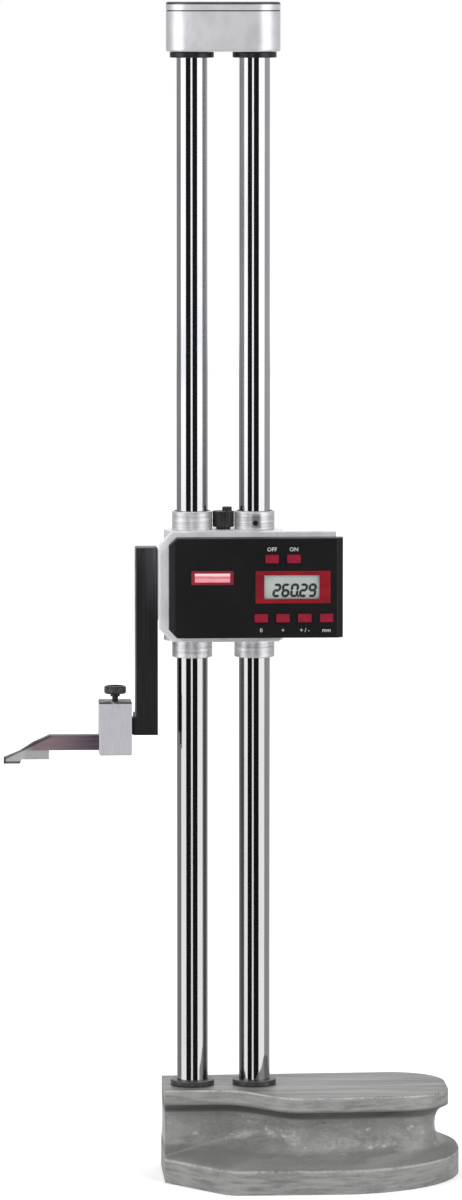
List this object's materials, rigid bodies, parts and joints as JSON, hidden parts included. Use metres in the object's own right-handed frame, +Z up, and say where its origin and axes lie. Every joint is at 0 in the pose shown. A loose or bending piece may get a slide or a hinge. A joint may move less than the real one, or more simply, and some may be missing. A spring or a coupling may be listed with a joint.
{
  "type": "height gauge",
  "caption": "Digital height gauge with a grooved cast base, twin columns, a rack-driven carriage with handwheel, a display unit with keys, and a clamped carbide scriber.",
  "frame": {"origin": "on the sole of the base, midway between the two columns", "axes": "+Z up along the columns, +X to the right seen from the display side, towards the toe of the base, +Y to the rear"},
  "size_m": [0.3251, 0.12, 0.8342],
  "materials": {
    "cast_grey": "grey painted casting",
    "chrome_steel": "ground and polished hard chrome",
    "ground_steel": "ground",
    "black_steel": "black oxide",
    "black_rubber": "matte",
    "silver_casting": "fine silver paint",
    "turned_aluminium": "turned",
    "felt": "felt",
    "bearing_bronze": "turned",
    "brass": "turned",
    "board_green": "solder mask",
    "black_plastic": "moulded",
    "black_paint": "satin black",
    "clamp_steel": "ground and satin plated",
    "scriber_steel": "hardened, tempered dark",
    "carbide": "ground carbide",
    "case_black": "semi-gloss moulding",
    "bezel_red": "gloss",
    "clear_window": "clear",
    "lcd": "liquid crystal panel",
    "key_red": "satin",
    "keypad_rubber": "silicone",
    "cell_steel": "nickel"
  },
  "bodies": {
    "stand": {"base_casting": "cast_grey", "column_left": "chrome_steel", "column_right": "chrome_steel", "rack_strip": "ground_steel", "rack_screws": "black_steel", "column_screws": "black_steel", "foot_rings": "black_rubber", "stop_rings": "black_rubber", "top_bracket": "silver_casting", "bracket_screws": "black_steel"},
    "carriage": {"slider_body": "silver_casting", "bushings_upper": "turned_aluminium", "bushings_lower": "turned_aluminium", "bushing_screw": "black_steel", "column_wipers": "felt", "gear_cover": "silver_casting", "gear_cover_screws": "ground_steel", "shaft_bearings": "bearing_bronze", "encoder_bearings": "bearing_bronze", "encoder_reader": "board_green", "measuring_arm": "black_paint", "arm_screws": "black_steel", "display_case": "case_black", "window_bezel": "bezel_red", "window_glass": "clear_window", "lcd_panel": "lcd", "keypad_mats": "keypad_rubber", "circuit_board": "board_green", "board_spacers": "brass", "case_screws": "ground_steel", "battery_cell": "cell_steel", "battery_spring": "brass"},
    "handwheel": {"drive_shaft": "ground_steel", "drive_pinion": "ground_steel", "handwheel": "black_plastic", "wheel_screw": "ground_steel", "crank_pin": "ground_steel"},
    "crank_knob": {"crank_knob": "black_plastic"},
    "encoder": {"encoder_shaft": "ground_steel", "encoder_disc": "ground_steel", "encoder_pinion": "brass"},
    "lock": {"lock_knob": "black_plastic", "lock_shaft": "ground_steel"},
    "lock_pad": {"lock_pad": "brass"},
    "battery_cover": {"battery_cover": "black_plastic"},
    "scriber_clamp": {"scriber_clamp": "clamp_steel"},
    "clamp_pad": {"clamp_pad": "brass"},
    "thumb_screw": {"thumb_screw": "black_steel"},
    "scriber": {"scriber_bar": "scriber_steel", "carbide_tip": "carbide"},
    "key_bottom_1": {"key_bottom_1": "key_red"},
    "key_bottom_2": {"key_bottom_2": "key_red"},
    "key_bottom_3": {"key_bottom_3": "key_red"},
    "key_bottom_4": {"key_bottom_4": "key_red"},
    "key_top_left": {"key_top_left": "key_red"},
    "key_top_right": {"key_top_right": "key_red"}
  },
  "joints": [
    {"name": "carriage_slide", "type": "slide", "parent": "stand", "child": "carriage", "axis": [0, 0, 1], "range_m": [-0.2976, 0.318]},
    {"name": "handwheel_turn", "type": "hinge", "parent": "carriage", "child": "handwheel", "pos_m": [0.022, 0.01918, 0.412], "axis": [1, 0, 0], "range_deg": [-1706, 1824]},
    {"name": "crank_knob_spin", "type": "hinge", "parent": "handwheel", "child": "crank_knob", "pos_m": [0.0566, 0.0319, 0.39927], "axis": [1, 0, 0], "continuous": true},
    {"name": "encoder_turn", "type": "hinge", "parent": "carriage", "child": "encoder", "pos_m": [0.022, 0.01918, 0.43556], "axis": [1, 0, 0], "range_deg": [-1706, 1824]},
    {"name": "lock_turn", "type": "hinge", "parent": "carriage", "child": "lock", "pos_m": [0, 0, 0.4634], "axis": [0, 0, 1], "range_deg": [0, 90]},
    {"name": "lock_pad_press", "type": "slide", "parent": "carriage", "child": "lock_pad", "axis": [-1, 0, 0], "range_m": [0, 0.000636]},
    {"name": "battery_cover_turn", "type": "hinge", "parent": "carriage", "child": "battery_cover", "pos_m": [0.063, -0.012, 0.402], "axis": [0, 1, 0], "range_deg": [0, 60]},
    {"name": "clamp_slide", "type": "slide", "parent": "carriage", "child": "scriber_clamp", "axis": [1, 0, 0], "range_m": [-0.005, 0.001]},
    {"name": "clamp_pad_lift", "type": "slide", "parent": "scriber_clamp", "child": "clamp_pad", "axis": [0, 0, 1], "range_m": [0, 0.0014]},
    {"name": "thumb_screw_turn", "type": "hinge", "parent": "clamp_pad", "child": "thumb_screw", "pos_m": [-0.0766, 0, 0.345], "axis": [0, 0, 1], "range_deg": [0, 720]},
    {"name": "scriber_slide", "type": "slide", "parent": "carriage", "child": "scriber", "axis": [1, 0, 0], "range_m": [-0.01, 0.012]},
    {"name": "key_bottom_1_press", "type": "slide", "parent": "carriage", "child": "key_bottom_1", "axis": [0, 1, 0], "range_m": [0, 0.0007], "stiffness_N_per_m": 600},
    {"name": "key_bottom_2_press", "type": "slide", "parent": "carriage", "child": "key_bottom_2", "axis": [0, 1, 0], "range_m": [0, 0.0007], "stiffness_N_per_m": 600},
    {"name": "key_bottom_3_press", "type": "slide", "parent": "carriage", "child": "key_bottom_3", "axis": [0, 1, 0], "range_m": [0, 0.0007], "stiffness_N_per_m": 600},
    {"name": "key_bottom_4_press", "type": "slide", "parent": "carriage", "child": "key_bottom_4", "axis": [0, 1, 0], "range_m": [0, 0.0007], "stiffness_N_per_m": 600},
    {"name": "key_top_left_press", "type": "slide", "parent": "carriage", "child": "key_top_left", "axis": [0, 1, 0], "range_m": [0, 0.0007], "stiffness_N_per_m": 600},
    {"name": "key_top_right_press", "type": "slide", "parent": "carriage", "child": "key_top_right", "axis": [0, 1, 0], "range_m": [0, 0.0007], "stiffness_N_per_m": 600}
  ],
  "couplings": [
    {"joint": "handwheel_turn", "follows": "carriage_slide", "rad_per_m": 100},
    {"joint": "encoder_turn", "follows": "carriage_slide", "rad_per_m": 100},
    {"joint": "lock_turn", "follows": "lock_pad_press", "rad_per_m": 2469.1},
    {"joint": "clamp_pad_lift", "follows": "thumb_screw_turn", "m_per_rad": 0.00011141}
  ]
}
